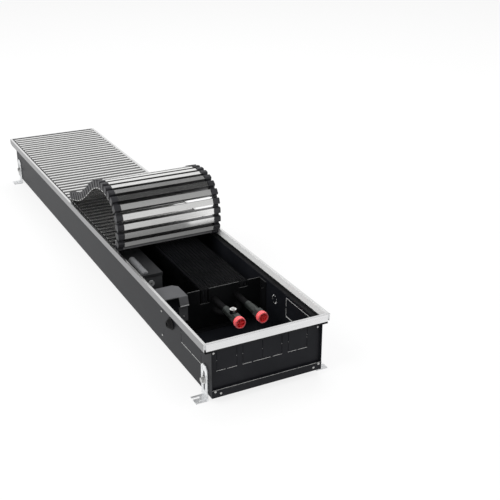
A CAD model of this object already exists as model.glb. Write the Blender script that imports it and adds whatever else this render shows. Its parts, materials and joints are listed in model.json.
# Trench convector heater: black sheet steel trough, aluminium frame and roll-up grille,
# water heat exchanger, cross-flow fan and four height-adjustable feet.
# All lengths are in metres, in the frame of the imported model.
import json
import math

import bmesh
import bpy
from mathutils import Matrix, Vector

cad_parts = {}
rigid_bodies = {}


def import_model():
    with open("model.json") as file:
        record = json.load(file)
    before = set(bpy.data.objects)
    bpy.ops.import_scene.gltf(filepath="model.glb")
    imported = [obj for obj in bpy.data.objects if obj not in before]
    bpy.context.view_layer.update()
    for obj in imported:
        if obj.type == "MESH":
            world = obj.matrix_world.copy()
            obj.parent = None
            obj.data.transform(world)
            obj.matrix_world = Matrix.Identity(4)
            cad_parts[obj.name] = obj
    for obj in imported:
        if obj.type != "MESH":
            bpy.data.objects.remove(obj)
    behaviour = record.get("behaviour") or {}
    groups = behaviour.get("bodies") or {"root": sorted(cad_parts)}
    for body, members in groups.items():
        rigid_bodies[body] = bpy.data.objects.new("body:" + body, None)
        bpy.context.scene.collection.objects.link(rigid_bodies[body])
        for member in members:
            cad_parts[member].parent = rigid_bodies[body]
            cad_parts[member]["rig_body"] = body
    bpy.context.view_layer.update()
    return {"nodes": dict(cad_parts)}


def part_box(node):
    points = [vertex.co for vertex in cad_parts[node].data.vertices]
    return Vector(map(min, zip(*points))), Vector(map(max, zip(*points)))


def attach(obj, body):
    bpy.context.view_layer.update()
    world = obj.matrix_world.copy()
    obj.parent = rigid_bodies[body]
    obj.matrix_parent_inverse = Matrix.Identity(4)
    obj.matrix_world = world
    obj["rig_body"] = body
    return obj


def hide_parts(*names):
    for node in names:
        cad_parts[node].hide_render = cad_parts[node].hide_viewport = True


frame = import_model()
scene = bpy.context.scene
scene.view_settings.view_transform = "Standard"


# Camera: stands left of the pipe end, about 0.9 m above the floor, and looks
# along the open trough and a little down.
lens = bpy.data.cameras.new("studio_camera")
lens.lens, lens.sensor_width = 65, 36
camera = bpy.data.objects.new("studio_camera", lens)
camera.location = (-0.6887, -1.961, 0.9178)
look_down, look_right = 23.74, 27.26
camera.rotation_euler = (math.radians(90 - look_down), 0, math.radians(-look_right))
scene.collection.objects.link(camera)
scene.camera = camera


# Studio: a white room, a white floor that keeps a part of the object's shadow, three
# soft lamps, and cards of glowing grey cloth that show in reflections only. The cards
# give the bare metal of the roll and the inside of the trough their light and dark.
class Wire:
    """An output socket. Sums and products of it with numbers or other wires add Math nodes."""

    def __init__(self, recipe, socket):
        self.recipe, self.socket = recipe, socket

    def math(self, operation, *values):
        return self.recipe.add("ShaderNodeMath", {"operation": operation}, dict(enumerate(values)))

    def __add__(self, other):
        return self.math("ADD", self, other)

    def __mul__(self, other):
        return self.math("MULTIPLY", self, other)

    def __gt__(self, other):
        return self.math("GREATER_THAN", self, other)

    __radd__, __rmul__ = __add__, __mul__

    def fit(self, low, high, start=0.0, end=1.0):
        """The wire's span from low to high, spread from start to end and held there."""
        spans = {"Value": self, 1: low, 2: high, 3: start, 4: end}
        return self.recipe.add("ShaderNodeMapRange", {"clamp": True}, spans)


class Recipe:
    """The nodes of one finish, room or tree."""

    def __init__(self, tree):
        self.tree = tree
        tree.nodes.clear()

    def add(self, kind, settings=None, sockets=None, out=0):
        node = self.tree.nodes.new(kind)
        for name, value in (settings or {}).items():
            setattr(node, name, value)
        for name, value in (sockets or {}).items():
            if isinstance(value, Wire):
                self.tree.links.new(value.socket, node.inputs[name])
            else:
                node.inputs[name].default_value = value
        return Wire(self, node.outputs[out]) if len(node.outputs) else None

    def seen(self):
        """1 for what the eye sees straight, in a mirror or through glass, and 0 for light."""
        kinds = ("Camera", "Glossy", "Transmission")
        ray = [self.add("ShaderNodeLightPath", out=f"Is {kind} Ray") for kind in kinds]
        return (ray[0] + ray[1] + ray[2]) > 0.5

    def noise(self, scale, detail=2.0, stretch=(1, 1, 1)):
        """Noise with so many features to the metre, drawn out by stretch."""
        spot = self.add("ShaderNodeTexCoord", out="Object")
        spot = self.add("ShaderNodeMapping", {}, {"Vector": spot, "Scale": stretch})
        return self.add("ShaderNodeTexNoise", {}, {"Vector": spot, "Scale": scale, "Detail": detail})

    def tint(self, mask, first, second):
        """The first colour where the mask is 0 and the second where it is 1."""
        colours = {0: mask, 6: (*first, 1), 7: (*second, 1)}
        return self.add("ShaderNodeMix", {"data_type": "RGBA"}, colours, out=2)

    def relief(self, height, depth):
        """Normals of a surface whose height runs over depth metres."""
        return self.add("ShaderNodeBump", {}, {"Height": height, "Distance": depth, "Strength": 1.0})


world = bpy.data.worlds.new("white_room")
world.use_nodes = True
room = Recipe(world.node_tree)
lit_strength, seen_strength = 0.6, 1.0
strength = room.seen().fit(0, 1, lit_strength, seen_strength)
sky = room.add("ShaderNodeBackground", {}, {"Color": (1, 1, 1, 1), "Strength": strength})
room.add("ShaderNodeOutputWorld", {}, {"Surface": sky})
scene.world = world


def panel(name, centre, normal, width, height, material):
    """A flat sheet of the studio, which isn't part of the object."""
    bm = bmesh.new()
    bmesh.ops.create_grid(bm, x_segments=1, y_segments=1, size=0.5)
    turn = Vector(normal).to_track_quat("Z", "Y").to_matrix().to_4x4()
    place = Matrix.Translation(centre) @ turn @ Matrix.Diagonal((width, height, 1, 1))
    bmesh.ops.transform(bm, matrix=place, verts=bm.verts)
    mesh = bpy.data.meshes.new(name)
    bm.to_mesh(mesh)
    bm.free()
    mesh.materials.append(material)
    sheet = bpy.data.objects.new(name, mesh)
    scene.collection.objects.link(sheet)
    return sheet


floor_paint = bpy.data.materials.new("white_floor")
floor_paint.use_nodes = True
mix = Recipe(floor_paint.node_tree)
matt = mix.add("ShaderNodeBsdfDiffuse", {}, {"Color": (0.9, 0.9, 0.9, 1)})
glow = mix.add("ShaderNodeEmission", {}, {"Color": (1, 1, 1, 1), "Strength": 1.0})
floor_glow = 0.82
both = mix.add("ShaderNodeMixShader", {}, {0: mix.seen() * floor_glow, 1: matt, 2: glow})
mix.add("ShaderNodeOutputMaterial", {}, {"Surface": both})
floor_size = 60
panel("floor", (0, 0, 0), (0, 0, 1), floor_size, floor_size, floor_paint)

# Name, centre, way it faces, width, height and brightness of each card
cards = [
    ("front_card", (1.6, -4.6, 1.4), (0, 1, 0), 9.0, 2.6, 0.75),
    ("upper_front_card", (1.6, -3.5, 3.5), (0, 0.7, -0.8), 9.0, 2.8, 0.42),
    ("overhead_card", (1.6, -0.55, 4.3), (0, 0, -1), 9.0, 3.7, 0.07),
    ("ceiling_card", (1.6, 2.5, 4.3), (0, 0, -1), 9.0, 2.4, 0.28),
    ("bay_card", (0.02, -0.49, 0.133), (0, 0, 1), 0.25, 0.34, 0.6),
    ("bay_back_card", (0.02, -0.27, 0.133), (0, 0, 1), 0.25, 0.10, 0.23),
    ("bay_corner_card", (0.115, -0.325, 0.1335), (0, 0, 1), 0.09, 0.07, 1.0),
]
for name, centre, normal, width, height, level in cards:
    grey_cloth = bpy.data.materials.new(name)
    grey_cloth.use_nodes = True
    mix = Recipe(grey_cloth.node_tree)
    glow = mix.add("ShaderNodeEmission", {}, {"Color": (1, 1, 1, 1), "Strength": level})
    clear = mix.add("ShaderNodeBsdfTransparent")
    behind = mix.add("ShaderNodeNewGeometry", out="Backfacing")
    both = mix.add("ShaderNodeMixShader", {}, {0: behind, 1: glow, 2: clear})
    mix.add("ShaderNodeOutputMaterial", {}, {"Surface": both})
    card = panel(name, centre, normal, width, height, grey_cloth)
    card.visible_camera = card.visible_diffuse = card.visible_shadow = False

# Name, place, width and watts of each lamp
softboxes = [
    ("left_softbox", (-2.6, -0.6, 2.6), 2.4, 75),
    ("top_softbox", (0.8, 1.4, 3.4), 2.6, 65),
    ("right_softbox", (2.8, -2.2, 2.2), 1.8, 25),
]
lamp_aim = Vector((0, -0.1, 0.1))
for name, centre, size, watts in softboxes:
    lamp = bpy.data.lights.new(name, "AREA")
    lamp.size, lamp.energy = size, watts
    lamp = bpy.data.objects.new(name, lamp)
    lamp.location = centre
    lamp.rotation_euler = (lamp_aim - Vector(centre)).to_track_quat("-Z", "Y").to_euler()
    lamp.visible_glossy = False
    scene.collection.objects.link(lamp)


# Trough and end plates: 1.2 mm sheet steel, laser cut with its knock-outs and
# folded, then powder coated satin black inside and out. Its cut edges are worn bare.
weld_gap = 2e-6
flat_angle = 0.01
squarely = 0.9


def welded(node):
    """Mesh code of a node's solids, with their corners joined."""
    bm = bmesh.new()
    bm.from_mesh(frame["nodes"][node].data)
    bmesh.ops.remove_doubles(bm, verts=bm.verts, dist=weld_gap)
    return bm


def lumps(bm):
    """The separate solids in a mesh, each as its list of faces, in the order of the faces."""
    left, found = set(bm.faces), []
    for first in bm.faces:
        if first not in left:
            continue
        left.remove(first)
        lump, fresh = [], [first]
        while fresh:
            face = fresh.pop()
            lump.append(face)
            for edge in face.edges:
                for other in edge.link_faces:
                    if other in left:
                        left.remove(other)
                        fresh.append(other)
        found.append(lump)
    return found


def span(lump):
    """The lowest and the highest corner of a lump."""
    spots = [v.co for face in lump for v in face.verts]
    return [Vector(f(p[k] for p in spots) for k in range(3)) for f in (min, max)]


def apply_all(piece):
    """Applies a piece's modifiers to its mesh."""
    bpy.context.view_layer.update()
    graph = bpy.context.evaluated_depsgraph_get()
    mesh = bpy.data.meshes.new_from_object(piece.evaluated_get(graph))
    piece.modifiers.clear()
    piece.data = mesh
    mesh.name = piece.name
    return mesh


def soften(piece, width, segments=2, angle=30):
    """Rounds the edges of a piece that turn by more than an angle."""
    bevel = piece.modifiers.new("soften", "BEVEL")
    bevel.width, bevel.segments = width, segments
    bevel.limit_method, bevel.angle_limit = "ANGLE", math.radians(angle)


def settle(piece, angle=29):
    """Applies a piece's modifiers, and shades curves smooth, folds sharp and flats even."""
    mesh = apply_all(piece)
    mesh.shade_smooth()
    mesh.set_sharp_from_angle(angle=math.radians(angle))
    piece.modifiers.new("even", "WEIGHTED_NORMAL").keep_sharp = True
    apply_all(piece)
    return piece


def new_piece(name, bm, *finishes):
    """A piece from mesh code, with its finishes."""
    mesh = bpy.data.meshes.new(name)
    bm.to_mesh(mesh)
    bm.free()
    for finish in finishes:
        mesh.materials.append(finish)
    piece = bpy.data.objects.new(name, mesh)
    scene.collection.objects.link(piece)
    return piece


def stand_for(piece, node):
    """Lets a piece ride and show in place of a node's solids."""
    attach(piece, frame["nodes"][node]["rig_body"])
    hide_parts(node)


def dress(node, slot, *finishes, edge=0.0003, pick=None, bare=None):
    """Stands a copy of a solid, with its edges softened, in the solid's place. pick gives the
    number of a whole lump's finish, and bare that of a single face, or 0 to leave it."""
    bm = welded(node)
    for face in bm.faces:
        face.material_index = 0
    if pick:
        for lump in lumps(bm):
            choice = pick(lump)
            for face in lump:
                face.material_index = choice
    bmesh.ops.dissolve_limit(
        bm, angle_limit=flat_angle, verts=bm.verts, edges=bm.edges, delimit={"MATERIAL"})
    if bare:
        for face in bm.faces:
            choice = int(bare(face))
            if choice:
                face.material_index = choice
    piece = new_piece(node + "_finished", bm, *finishes)
    if edge:
        soften(piece, edge)
    stand_for(settle(piece), node)


def new_finish(name):
    """A finish, its nodes, and the still empty list of its shader's sockets."""
    material = bpy.data.materials.new(name)
    material.use_nodes = True
    return material, Recipe(material.node_tree), {}


def close_finish(recipe, sockets):
    """Puts the shader at the end of a finish."""
    shader = recipe.add("ShaderNodeBsdfPrincipled", {}, sockets)
    recipe.add("ShaderNodeOutputMaterial", {}, {"Surface": shader})


def coat(name, colour, rough, specular=0.3, grain=1100, depth=0.00003, uneven=0.06):
    """Powder coat on steel: fine orange peel, with patches a little duller than others."""
    material, recipe, sockets = new_finish(name)
    patches = recipe.noise(14, 4)
    specks = recipe.noise(2600, 1)
    peel = recipe.noise(grain, 1.5)
    lighter = tuple(min(1, c * 1.35 + 0.003) for c in colour)
    sockets["Base Color"] = recipe.tint((patches * 0.7 + specks * 0.3).fit(0.42, 0.68), colour, lighter)
    sockets["Roughness"] = patches.fit(0.3, 0.7, rough - uneven, rough + uneven)
    sockets["Specular IOR Level"] = specular
    sockets["Normal"] = recipe.relief(peel, depth)
    close_finish(recipe, sockets)
    return material


sheet_edge = 0.0014
flange_z = 0.108
right_wall_x, past_lip_y = 0.1, -0.69


def cut_edge(face):
    """The narrow faces of the sheet's own thickness, below the flange, that look up, and those
    of the right wall's knock-out that look to the pipe end."""
    low, high = span([face])
    size = high - low
    if low.z > flange_z:
        return False
    looks_up = face.normal.z > squarely and min(size.x, size.y) < sheet_edge
    looks_near = face.normal.y < -squarely and size.x < sheet_edge
    return looks_up or (looks_near and low.x > right_wall_x and low.y > past_lip_y)


bare_edge = coat("bare_edge", (0.55, 0.55, 0.54), 0.45, 0.5)
trough_coat = coat("trough_coat", (0.0077, 0.0083, 0.0105), 0.42, 0.11, uneven=0.015)
for node in ("trough", "end_plate_near", "end_plate_far"):
    dress(node, "trough_paint", trough_coat, bare_edge, edge=0.00015, bare=cut_edge)


# Casing screws: zinc-plated pan heads with a cross recess, through the walls, the end
# plates and the grey bracket's leg. One turned head is copied to each screw's place.
def metal(name, colour, rough, stretch=(1, 1, 1), scale=900, uneven=0.08, depth=0.000008, dark=0.86):
    """Bare, plated or anodised metal, with drawn or brushed lines where stretch is long."""
    material, recipe, sockets = new_finish(name)
    lines = recipe.noise(scale, 3, stretch)
    patches = recipe.noise(18, 3)
    duller = tuple(c * dark for c in colour)
    sockets["Base Color"] = recipe.tint((lines * 0.6 + patches * 0.4).fit(0.35, 0.65), duller, colour)
    sockets["Roughness"] = (lines * 0.5 + patches * 0.5).fit(0.35, 0.65, rough - uneven, rough + uneven)
    sockets["Metallic"] = 1.0
    sockets["Normal"] = recipe.relief(lines, depth)
    close_finish(recipe, sockets)
    return material


def turned(profile, sides, recess, recess_rings=2):
    """A closed shape turned about Z from radius and height pairs. recess() gives the share of
    its radius that each of the first rings keeps at an angle."""
    bm = bmesh.new()
    rings = []
    for number, (radius, height) in enumerate(profile):
        ring = []
        for k in range(sides):
            a = 2 * math.pi * k / sides
            r = radius * (recess(a) if number < recess_rings else 1)
            ring.append(bm.verts.new((r * math.cos(a), r * math.sin(a), height)))
        rings.append(ring)
    for low, high in zip(rings, rings[1:]):
        for k in range(sides):
            bm.faces.new((low[k], low[k - 1], high[k - 1], high[k]))
    bm.faces.new(rings[0])
    bm.faces.new(rings[-1])
    bmesh.ops.recalc_face_normals(bm, faces=bm.faces)
    return bm


def new_tree(name, *inputs):
    """A node tree that makes shapes from named inputs, and a way to read each of them."""
    tree = bpy.data.node_groups.new(name, "GeometryNodeTree")
    for label, kind in inputs:
        tree.interface.new_socket(label, in_out="INPUT", socket_type="NodeSocket" + kind)
    tree.interface.new_socket("Result", in_out="OUTPUT", socket_type="NodeSocketGeometry")
    recipe = Recipe(tree)
    return tree, recipe, lambda label: recipe.add("NodeGroupInput", out=label)


def close_tree(recipe, result):
    """Makes the copies real, each with the finishes of its blank, and ends the tree."""
    result = recipe.add("GeometryNodeRealizeInstances", {}, {"Geometry": result})
    recipe.add("NodeGroupOutput", {}, {"Result": result})


def grow(piece, tree, **sizes):
    """Runs a tree on a piece with these sizes, and keeps what it makes as a plain mesh."""
    rig = piece.modifiers.new("tree", "NODES")
    rig.node_group = tree
    for item in tree.interface.items_tree:
        if item.in_out == "INPUT" and item.name in sizes:
            rig[item.identifier] = sizes[item.name]
    return settle(piece)


def cross_recess(angle):
    """Share of a screw head's inner radii that its cross recess leaves at an angle."""
    return 0.45 + 0.55 * abs(math.cos(2 * angle)) ** 3


spot_tree, recipe, given = new_tree("screws on spots", ("Spots", "Geometry"), ("Screw", "Object"))
screw = recipe.add("GeometryNodeObjectInfo", {}, {"Object": given("Screw")}, out="Geometry")
way = recipe.add("GeometryNodeInputNamedAttribute", {"data_type": "FLOAT_VECTOR"}, {"Name": "way_out"})
turn = recipe.add("FunctionNodeAlignRotationToVector", {"axis": "Z"}, {"Vector": way})
copies = {"Points": given("Spots"), "Instance": screw, "Rotation": turn}
close_tree(recipe, recipe.add("GeometryNodeInstanceOnPoints", {}, copies))

zinc = metal("zinc_plate", (0.62, 0.62, 0.61), 0.34, scale=1500)
solids = welded("casing_screws")
spans = [span(lump) for lump in lumps(solids)]
solids.free()
low, high = spans[0]
head_r = sorted(high - low)[1] / 2
head_sides = 24
screw_head = turned([
    (head_r * 0.30, -head_r * 0.30), (head_r * 0.50, 0), (head_r * 0.66, -head_r * 0.05),
    (head_r * 0.90, -head_r * 0.22), (head_r, -head_r * 0.50), (head_r, -head_r * 0.72),
    (head_r * 0.45, -head_r * 0.75), (head_r * 0.42, -head_r * 3.2)],
    head_sides, cross_recess)
screw_head = new_piece("screw_head", screw_head, zinc)
spots = bpy.data.meshes.new("casing_screws_finished")
ways, places = [], []
round_within = 1e-4
for low, high in spans:
    size, middle = high - low, (low + high) / 2
    across = 0 if abs(size.y - size.z) < round_within else 1
    way = Vector((0, 0, 0))
    way[across] = math.copysign(1, middle[across])
    top = middle.copy()
    top[across] = high[across] if way[across] > 0 else low[across]
    ways.append(way)
    places.append(top)
spots.from_pydata(places, [], [])
outward = spots.attributes.new("way_out", "FLOAT_VECTOR", "POINT")
outward.data.foreach_set("vector", [share for way in ways for share in way])
casing_screws = bpy.data.objects.new("casing_screws_finished", spots)
scene.collection.objects.link(casing_screws)
stand_for(grow(casing_screws, spot_tree, Screw=screw_head), "casing_screws")
bpy.data.objects.remove(screw_head)


# Cable grommet: a soft black rubber ring with a cone for the cable, pushed into the
# left wall's round hole.
def rubber(name, colour, rough):
    """Matt rubber with a fine bloom."""
    material, recipe, sockets = new_finish(name)
    bloom = recipe.noise(60, 4)
    skin = recipe.noise(1800, 2)
    lighter = tuple(c * 1.7 + 0.004 for c in colour)
    sockets["Base Color"] = recipe.tint(bloom.fit(0.35, 0.7), colour, lighter)
    sockets["Roughness"] = bloom.fit(0.3, 0.7, rough - 0.07, rough + 0.07)
    sockets["Specular IOR Level"] = 0.35
    sockets["Normal"] = recipe.relief(skin, 0.00002)
    close_finish(recipe, sockets)
    return material


grommet_rubber = rubber("grommet_rubber_black", (0.003, 0.003, 0.0034), 0.8)
dress("cable_grommet", "grommet_rubber", grommet_rubber, edge=0.0006)


# Frame: four lengths of extruded aluminium, satin anodised, mitred and pulled together
# at the corners by cast keys in their channels. The upright sides of the two long ones
# are duller outside, with their mill finish, and etched white inside.
along_x, along_y = (0.004, 1, 1), (1, 0.004, 1)
long_metal = metal("anodised_rail_long", (0.82, 0.82, 0.82), 0.24, along_y, 1400, 0.04)
short_metal = metal("anodised_rail_short", (0.80, 0.80, 0.805), 0.26, along_x, 1400, 0.04)
mill_side = metal("mill_finish_side", (0.34, 0.34, 0.345), 0.36, along_y, 1400, 0.05)
inner_side, recipe, sockets = new_finish("etched_inner_side")
etch = recipe.noise(900, 3, (1, 0.02, 1))
sockets["Base Color"] = recipe.tint(etch.fit(0.35, 0.65), (0.94, 0.94, 0.93), (1.0, 1.0, 1.0))
sockets["Roughness"] = etch.fit(0.3, 0.7, 0.38, 0.5)
close_finish(recipe, sockets)


def long_side(face):
    """The upright faces along a long rail: mill finish outside, etched inside."""
    if abs(face.normal.x) < squarely:
        return 0
    return 1 if face.normal.x * face.verts[0].co.x > 0 else 2


for side in ("left", "right"):
    dress(f"frame_rail_{side}", "frame_aluminium", long_metal, mill_side, inner_side, bare=long_side)
for side in ("near", "far"):
    dress(f"frame_rail_{side}", "frame_aluminium", short_metal)
cast_metal = metal("cast_key", (0.70, 0.71, 0.72), 0.45, scale=500)
dress("frame_corner_keys", "frame_aluminium", cast_metal)


# Seal and rest strips: black foam rubber between frame and flange, and the
# strips on the flange that the grille's shoes lie on.
seal_rubber = rubber("seal_foam", (0.004, 0.004, 0.0044), 0.85)
dress("frame_seal", "seal_rubber", seal_rubber, edge=0.0004)
dress("grille_rest_strips", "seal_rubber", seal_rubber, edge=0.0003)


# Grille: hollow aluminium slats with rounded top edges, natural anodised and darker on
# their upright sides, with a black moulded shoe on each end. The eyes and pins of the
# shoes link the slats. One slat and its shoes are copied along the flat part.
row_tree, recipe, given = new_tree(
    "row of blanks", ("Blank", "Geometry"), ("Count", "Int"), ("Step", "Vector"))
steps = {"Count": given("Count"), "Offset": given("Step")}
line = recipe.add("GeometryNodeMeshLine", {"mode": "OFFSET"}, steps)
copies = recipe.add("GeometryNodeInstanceOnPoints", {}, {"Points": line, "Instance": given("Blank")})
close_tree(recipe, copies)


def plastic(name, colour, rough, specular=0.5, depth=0.00002):
    """Moulded plastic with a spark-eroded grain."""
    material, recipe, sockets = new_finish(name)
    grain = recipe.noise(2200, 2)
    flow = recipe.noise(35, 3)
    lighter = tuple(min(1, c * 1.2 + 0.002) for c in colour)
    sockets["Base Color"] = recipe.tint(flow.fit(0.35, 0.7), colour, lighter)
    sockets["Roughness"] = flow.fit(0.3, 0.7, rough - 0.06, rough + 0.06)
    sockets["Specular IOR Level"] = specular
    sockets["Normal"] = recipe.relief(grain, depth)
    close_finish(recipe, sockets)
    return material


def blank_of(node, keep):
    """A mesh of those separate solids of a node whose lowest and highest corners keep() picks."""
    bm = welded(node)
    drop = [face for lump in lumps(bm) if not keep(*span(lump)) for face in lump]
    bmesh.ops.delete(bm, geom=drop, context="FACES")
    bmesh.ops.dissolve_limit(bm, angle_limit=flat_angle, verts=bm.verts, edges=bm.edges)
    return bm


slat_metal = metal("anodised_slat", (0.86, 0.86, 0.85), 0.22, along_x, 1700, 0.03, 0.000002)
slat_side = metal("slat_side", (0.24, 0.24, 0.245), 0.42, along_x, 1700, 0.05)
shoe_black = plastic("shoe_black", (0.022, 0.022, 0.025), 0.45, 0.3)
slat_pitch = 0.020
slat_edge = 0.00015
low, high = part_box("flat_slats")
slat_count = round((high.y - low.y) / slat_pitch)
near_row = low.y + slat_pitch / 2
flat_rows = [
    ("flat_slats", "slat_aluminium", (slat_metal, slat_side)),
    ("flat_slat_shoes", "shoe_plastic", (shoe_black,)),
]
for node, slot, finishes in flat_rows:
    blank = blank_of(node, lambda low, high: (low.y + high.y) / 2 < near_row)
    for face in blank.faces:
        face.material_index = len(finishes) - 1 if abs(face.normal.y) > squarely else 0
    piece = new_piece(node + "_finished", blank, *finishes)
    soften(piece, slat_edge, segments=1, angle=40)
    settle(piece)
    grow(piece, row_tree, Count=slat_count, Step=(0, slat_pitch, 0))
    stand_for(piece, node)


# Rolled part of the grille: the same slats and shoes, each one a body that
# turns on the pins of the slat before it.
full_length = 0.1
facet_area = 1.5e-4


def is_shoe(lump):
    """0 for the slat, which runs across the grille, and 1 for a shoe."""
    low, high = span(lump)
    return 0 if high.x - low.x > full_length else 1


def upright_sides(node):
    """Picks the two sides of a slat, whose facets round its top edges show which way is up."""
    up = Vector((0, 0, 0))
    mesh = frame["nodes"][node].data
    for face in mesh.polygons:
        reach = [mesh.vertices[k].co.x for k in face.vertices]
        if max(reach) - min(reach) > full_length and face.area < facet_area:
            up += face.normal * face.area
    across = up.cross(Vector((1, 0, 0))).normalized()
    return lambda face: 2 * (face.material_index == 0 and abs(face.normal.dot(across)) > squarely)


for node in sorted(name for name in frame["nodes"] if name.startswith("curl_slat_")):
    dress(node, "slat_aluminium", slat_metal, shoe_black, slat_side,
          edge=slat_edge, pick=is_shoe, bare=upright_sides(node))


# Heat exchanger: thin corrugated aluminium fins pressed onto copper tubes and
# dipped black, held between two coated steel plates whose top edges are worn.
def fin_blank(low, high, thick, wave, rise):
    """One corrugated fin across the block, at Y 0."""
    bm = bmesh.new()
    steps_per_wave = 4
    steps = round((high.x - low.x) / wave * steps_per_wave)
    rows = []
    for k in range(steps + 1):
        x = low.x + (high.x - low.x) * k / steps
        y = rise * math.sin(2 * math.pi * (x - low.x) / wave)
        rows.append([bm.verts.new((x, y + s, z)) for s, z in (
            (0, low.z), (thick, low.z), (thick, high.z), (0, high.z))])
    for a, b in zip(rows, rows[1:]):
        for k in range(4):
            bm.faces.new((a[k - 1], a[k], b[k], b[k - 1]))
    bm.faces.new(rows[0])
    bm.faces.new(rows[-1][::-1])
    bmesh.ops.recalc_face_normals(bm, faces=bm.faces)
    return bm


fin_black = coat("fin_black", (0.0075, 0.0078, 0.0088), 0.42, 0.35, 700, 0.00001)
low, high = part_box("exchanger_fins")
fin_pitch, fin_thick = 0.0042, 0.0004
fin_wave, fin_rise, fin_margin = 0.0075, 0.0014, 0.0015
blank = fin_blank(low, high, fin_thick, fin_wave, fin_rise)
bmesh.ops.translate(blank, verts=blank.verts, vec=(0, low.y + fin_margin, 0))
fins = new_piece("exchanger_fins_finished", blank, fin_black)
fin_count = int((high.y - low.y - 2 * fin_margin) / fin_pitch) + 1
grow(fins, row_tree, Count=fin_count, Step=(0, fin_pitch, 0))
stand_for(fins, "exchanger_fins")
tube_black = coat("tube_black", (0.003, 0.003, 0.0034), 0.6, 0.12, 500)
dress("exchanger_tubes", "exchanger_paint", tube_black, edge=0)
plate_edge = 0.002
above_feet = 0.04


def top_edge(face):
    """The narrow upward faces of the plates' own thickness."""
    low, high = span([face])
    narrow = min(high.x - low.x, high.y - low.y) < plate_edge
    return face.normal.z > squarely and narrow and low.z > above_feet


bracket_black = coat("bracket_black", (0.0050, 0.0052, 0.0058), 0.42, 0.2)
worn_edge = coat("worn_edge", (0.10, 0.10, 0.10), 0.4)
dress("exchanger_brackets", "bracket_paint", bracket_black, worn_edge, edge=0.0002, bare=top_edge)


# Unions, plugs and vent: dark plated brass unions on the tube ends, shut for
# transport by red moulded plugs with ribs round their caps. The left union carries a
# nickel-plated air vent.
union_dark, recipe, sockets = new_finish("union_dark")
stain = recipe.noise(120, 5)
marks = recipe.noise(700, 3)
sockets["Base Color"] = recipe.tint(stain.fit(0.4, 0.65), (0.014, 0.017, 0.016), (0.060, 0.068, 0.064))
sockets["Roughness"] = marks.fit(0.35, 0.65, 0.22, 0.42)
sockets["Metallic"] = stain.fit(0.4, 0.6, 0.35, 0.75)
sockets["Normal"] = recipe.relief(marks, 0.00003)
close_finish(recipe, sockets)
dress("valve_unions", "union_metal", union_dark, edge=0.0005)

plug_red = plastic("plug_red", (0.90, 0.055, 0.060), 0.24, 0.7)
plug_rim = plastic("plug_rim", (1.0, 0.20, 0.22), 0.30, 0.6)
ring_tree, recipe, given = new_tree(
    "ribs round a cap", ("Rib", "Geometry"), ("Count", "Int"), ("Radius", "Float"),
    ("Centre", "Vector"))
sizes = {"Vertices": given("Count"), "Radius": given("Radius")}
ring = recipe.add("GeometryNodeMeshCircle", {}, sizes)
way = recipe.add("GeometryNodeInputPosition")
turning = {"axis": "X", "pivot_axis": "Z"}
turn = recipe.add("FunctionNodeAlignRotationToVector", turning, {"Vector": way})
copies = {"Points": ring, "Instance": given("Rib"), "Rotation": turn}
ribs = recipe.add("GeometryNodeInstanceOnPoints", {}, copies)
stand = {"Geometry": ribs, "Translation": given("Centre"), "Rotation": (math.radians(90), 0, 0)}
close_tree(recipe, recipe.add("GeometryNodeTransform", {}, stand))
rim_depth = 0.0003
rib_size, rib_round = (0.0012, 0.0013, 0.0085), 0.0003
rib_count, rib_sunk, rib_middle = 26, 0.0002, 0.0055


def rim_of(end_y):
    """Picks the ring at the open end of a plug's cap."""
    return lambda face: face.normal.y < -squarely and face.calc_center_median().y < end_y + rim_depth


for side in ("left", "right"):
    low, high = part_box(f"plug_{side}")
    dress(f"plug_{side}", "plug_plastic", plug_red, plug_rim, edge=0.0005, bare=rim_of(low.y))
    cap_r = (high.x - low.x) / 2
    bm = bmesh.new()
    bmesh.ops.create_cube(bm, size=1)
    bmesh.ops.scale(bm, vec=rib_size, verts=bm.verts)
    bmesh.ops.bevel(bm, geom=bm.edges, offset=rib_round, segments=1, affect="EDGES")
    ribs = new_piece(f"plug_{side}_ribs", bm, plug_rim)
    grow(ribs, ring_tree, Count=rib_count, Radius=cap_r - rib_sunk,
         Centre=((low.x + high.x) / 2, low.y + rib_middle, (low.z + high.z) / 2))
    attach(ribs, f"plug_{side}")
nickel = metal("nickel_plate", (0.86, 0.86, 0.85), 0.16, scale=900, uneven=0.05)
dress("vent_body", "vent_metal", nickel, edge=0.0004)
dress("vent_screw", "vent_metal", nickel, edge=0.0003)


# Control box: coated sheet tray with a folded lid. A cable gland sits in its
# face, and the motor's run capacitor lies in a slot of the lid.
box_coat = coat("box_coat", (0.021, 0.0215, 0.023), 0.40, 0.35)
dress("control_box", "box_paint", coat("tray_coat", (0.048, 0.050, 0.053), 0.45, 0.4), edge=0.0006)
dress("control_box_lid", "box_paint", box_coat, edge=0.0005)
dress("cable_gland", "gland_plastic", plastic("gland_grey", (0.30, 0.305, 0.31), 0.35), edge=0.0004)
can_sleeve = plastic("capacitor_sleeve", (0.19, 0.193, 0.20), 0.30, 0.6)
dress("fan_capacitor", "capacitor_metal", can_sleeve, edge=0.0012)


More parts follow.
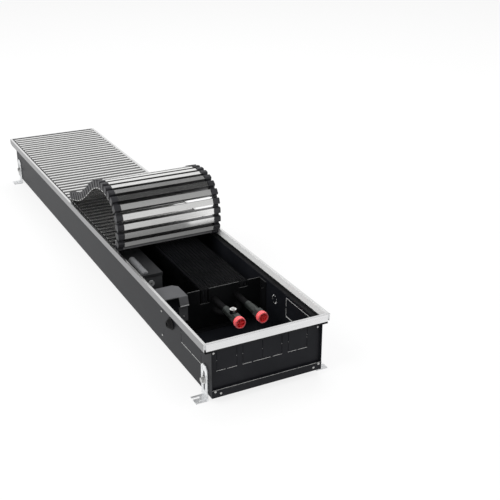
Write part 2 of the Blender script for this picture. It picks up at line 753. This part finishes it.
# Angle bracket: grey coated steel between the wall and the box, cut with a sloping
# corner and folded down in front, where the knee of its leg is rubbed bare.
knee_low, knee_high = 0.0765, 0.0835


def knee(face):
    """The blunt front of the leg's knee."""
    low, high = span([face])
    return face.normal.y < -0.5 and low.z > knee_low and high.z < knee_high


angle_coat = coat("angle_coat", (0.082, 0.083, 0.088), 0.45, 0.4)
worn_knee = coat("worn_knee", (0.62, 0.62, 0.62), 0.35, 0.5)
dress("angle_bracket", "angle_paint", angle_coat, worn_knee, bare=knee)


# Cross-flow fan: coated scroll with two end plates, and a rotor of flat aluminium
# blades on discs, whose shaft runs in a bearing at one end and in the motor at the other.
dress("fan_housing", "housing_paint", coat("fan_coat", (0.012, 0.012, 0.013), 0.42), edge=0.0002)
rotor_sheet = metal("rotor_sheet", (0.66, 0.67, 0.69), 0.32, (1, 0.01, 1), 1100)
dress("fan_rotor", "rotor_aluminium", rotor_sheet, edge=0.0001)
dress("fan_bearing", "gland_plastic", plastic("bearing_black", (0.02, 0.02, 0.021), 0.4), edge=0.0003)
dress("fan_motor", "motor_paint", coat("motor_coat", (0.045, 0.047, 0.05), 0.42, 0.4), edge=0.0006)


# Feet: bent galvanised strip with a long slot, so that the trough can be set level,
# each held to the wall by a bolt, a washer and a nut.
galvanised, recipe, sockets = new_finish("galvanised")
spot = recipe.add("ShaderNodeTexCoord", out="Object")
grains = recipe.add("ShaderNodeTexVoronoi", {}, {"Vector": spot, "Scale": 260.0}, out="Color")
shade = recipe.add("ShaderNodeSeparateColor", {}, {"Color": grains})
scratches = recipe.noise(900, 3, (1, 1, 0.05))
sockets["Base Color"] = recipe.tint(shade, (0.62, 0.63, 0.64), (0.84, 0.85, 0.86))
sockets["Roughness"] = (shade * 0.6 + scratches * 0.4).fit(0.1, 0.8, 0.28, 0.50)
sockets["Metallic"] = 0.45
sockets["Normal"] = recipe.relief(scratches, 0.00001)
close_finish(recipe, sockets)
for end in ("near", "far"):
    for side in ("left", "right"):
        dress(f"foot_{end}_{side}", "foot_steel", galvanised, edge=0.0003)
dress("foot_fasteners", "screw_steel", zinc, edge=0.0004)
